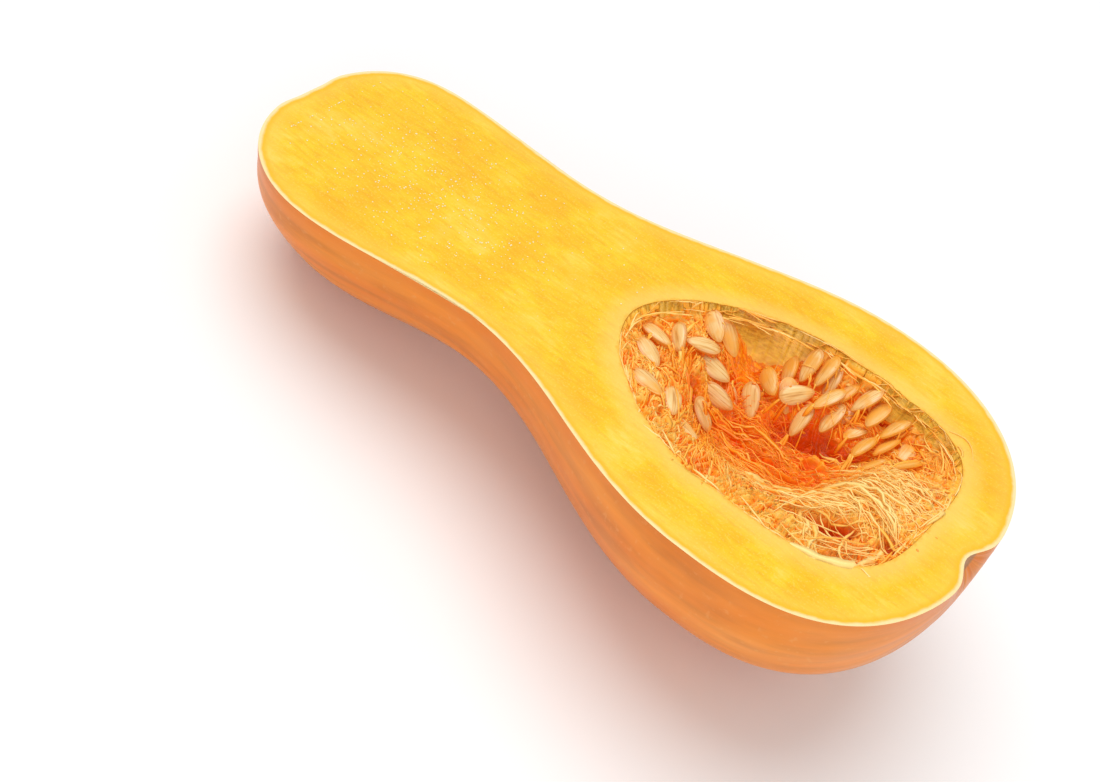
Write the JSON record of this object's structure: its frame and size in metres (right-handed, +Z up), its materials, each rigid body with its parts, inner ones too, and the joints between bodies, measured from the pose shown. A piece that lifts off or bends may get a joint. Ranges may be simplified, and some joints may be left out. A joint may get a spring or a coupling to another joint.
{
  "type": "butternut squash half",
  "caption": "Butternut squash cut in half lengthwise, lying on its rind: bottle-shaped flesh with a seed cavity lined with stringy pulp and flat seeds.",
  "frame": {"origin": "bottom centre of the half's bounding box, on the surface it lies on", "axes": "+X from the stem end to the blossom end, +Z up, away from the surface it lies on; the cut face looks up, tilted 8.5 degrees towards the stem end"},
  "size_m": [0.2774, 0.1442, 0.0824],
  "materials": {
    "rind_and_flesh": "moist yellow cut flesh inside a thin satin orange-tan rind",
    "pulp": "wet orange strings",
    "seed": "smooth cream seed coat, slightly wet"
  },
  "bodies": {
    "root": {"flesh": "rind_and_flesh", "pulp": "pulp", "seed_01": "seed", "seed_02": "seed", "seed_03": "seed", "seed_04": "seed", "seed_05": "seed", "seed_06": "seed", "seed_07": "seed", "seed_08": "seed", "seed_09": "seed", "seed_10": "seed", "seed_11": "seed", "seed_12": "seed", "seed_13": "seed", "seed_14": "seed", "seed_15": "seed", "seed_16": "seed", "seed_17": "seed", "seed_18": "seed", "seed_19": "seed", "seed_20": "seed", "seed_21": "seed", "seed_22": "seed", "seed_23": "seed", "seed_24": "seed", "seed_25": "seed", "seed_26": "seed", "seed_27": "seed", "seed_28": "seed", "seed_29": "seed", "seed_30": "seed", "seed_31": "seed", "seed_32": "seed", "seed_33": "seed", "seed_34": "seed", "seed_35": "seed", "seed_36": "seed", "seed_37": "seed"}
  },
  "joints": []
}
